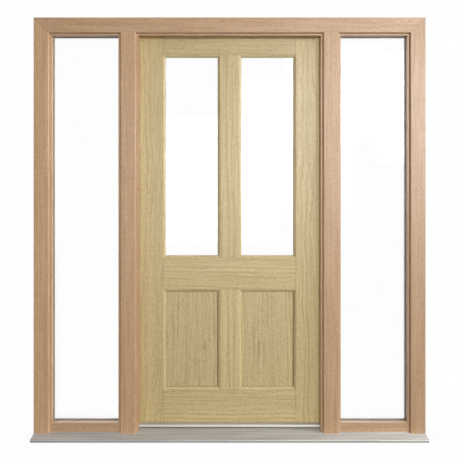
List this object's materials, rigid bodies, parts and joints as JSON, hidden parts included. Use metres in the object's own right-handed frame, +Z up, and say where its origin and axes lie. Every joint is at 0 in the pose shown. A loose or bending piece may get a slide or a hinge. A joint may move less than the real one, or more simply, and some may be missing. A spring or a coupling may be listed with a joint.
{
  "type": "glazed oak door set with sidelights",
  "caption": "Oak front door, glazed above and panelled below, hinged in an oak frame with a full-height glazed sidelight on each side and a sloping metal sill.",
  "frame": {"origin": "on the sill's underside, midway across the door set and midway through the depth of its frame", "axes": "+Z up, +X across to the right seen from outside, +Y inwards, so the outside face looks along -Y"},
  "size_m": [1.947, 0.1925, 2.09],
  "materials": {
    "frame_oak": "sanded, satin oil",
    "leaf_oak": "sanded, satin lacquer",
    "panel_oak": "sanded, satin lacquer",
    "sill_metal": "brushed",
    "threshold_metal": "brushed",
    "hinge_steel": "satin",
    "clear_glass": "clear",
    "glazing_spacer": "matt"
  },
  "bodies": {
    "frame": {"sill": "sill_metal", "threshold": "threshold_metal", "head": "frame_oak", "left_jamb": "frame_oak", "right_jamb": "frame_oak", "left_mullion": "frame_oak", "right_mullion": "frame_oak", "left_sidelight_rail": "frame_oak", "right_sidelight_rail": "frame_oak", "left_sidelight_glass": "clear_glass", "right_sidelight_glass": "clear_glass", "left_sidelight_spacer": "glazing_spacer", "right_sidelight_spacer": "glazing_spacer", "left_sidelight_beads": "frame_oak", "right_sidelight_beads": "frame_oak", "upper_hinge_frame_half": "hinge_steel", "middle_hinge_frame_half": "hinge_steel", "lower_hinge_frame_half": "hinge_steel"},
    "leaf": {"hinge_stile": "leaf_oak", "lock_stile": "leaf_oak", "top_rail": "leaf_oak", "lock_rail": "leaf_oak", "bottom_rail": "leaf_oak", "upper_muntin": "leaf_oak", "lower_muntin": "leaf_oak", "left_panel": "panel_oak", "right_panel": "panel_oak", "left_door_glass": "clear_glass", "left_door_spacer": "glazing_spacer", "left_glass_beads": "leaf_oak", "left_panel_beads": "leaf_oak", "right_door_glass": "clear_glass", "right_door_spacer": "glazing_spacer", "right_glass_beads": "leaf_oak", "right_panel_beads": "leaf_oak", "upper_hinge_leaf_half": "hinge_steel", "middle_hinge_leaf_half": "hinge_steel", "lower_hinge_leaf_half": "hinge_steel"}
  },
  "joints": [
    {"name": "leaf_swing", "type": "hinge", "parent": "frame", "child": "leaf", "pos_m": [-0.46575, 0.068, 1.03], "axis": [0, 0, 1], "range_deg": [0, 100]}
  ]
}
